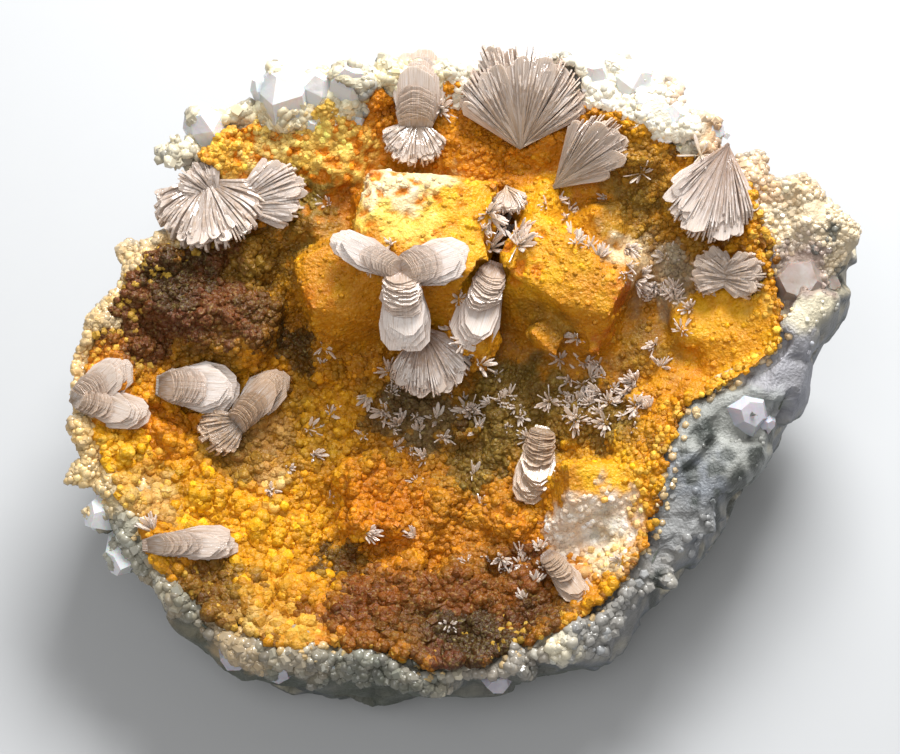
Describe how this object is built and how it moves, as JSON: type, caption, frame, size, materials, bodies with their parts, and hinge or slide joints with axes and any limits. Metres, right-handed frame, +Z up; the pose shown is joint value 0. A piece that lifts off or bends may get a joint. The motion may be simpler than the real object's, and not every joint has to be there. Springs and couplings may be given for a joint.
{
  "type": "hemimorphite mineral specimen",
  "caption": "Loose mineral specimen: pale quartz rock with a hollow lined by yellow to rust-red druse that carries glassy fans and petals of hemimorphite; rests on a flat broken face.",
  "frame": {"origin": "on the flat broken face that the rock rests on, under the middle of the hollow", "axes": "+Z up from the resting face, +X along the specimen's longest side, +Y to the high back of the rim; the hollow faces up and towards -Y"},
  "size_m": [0.097, 0.0757, 0.0453],
  "materials": {
    "quartz_rock": "rough",
    "yellow_druse": "sugary",
    "hemimorphite": "glassy",
    "clear_quartz": "glassy"
  },
  "bodies": {
    "root": {"matrix": "quartz_rock", "druse_crust": "yellow_druse", "fan_tall": "hemimorphite", "fan_great": "hemimorphite", "fan_needle": "hemimorphite", "fan_right": "hemimorphite", "rosette_left": "hemimorphite", "flower_centre": "hemimorphite", "petal_beside": "hemimorphite", "fan_below_flower": "hemimorphite", "plate_left_hollow": "hemimorphite", "fans_left_hollow": "hemimorphite", "fans_far_left": "hemimorphite", "fan_lower_left": "hemimorphite", "fan_right_grey": "hemimorphite", "fan_middle": "hemimorphite", "fan_front": "hemimorphite", "fan_small": "hemimorphite"}
  },
  "joints": []
}
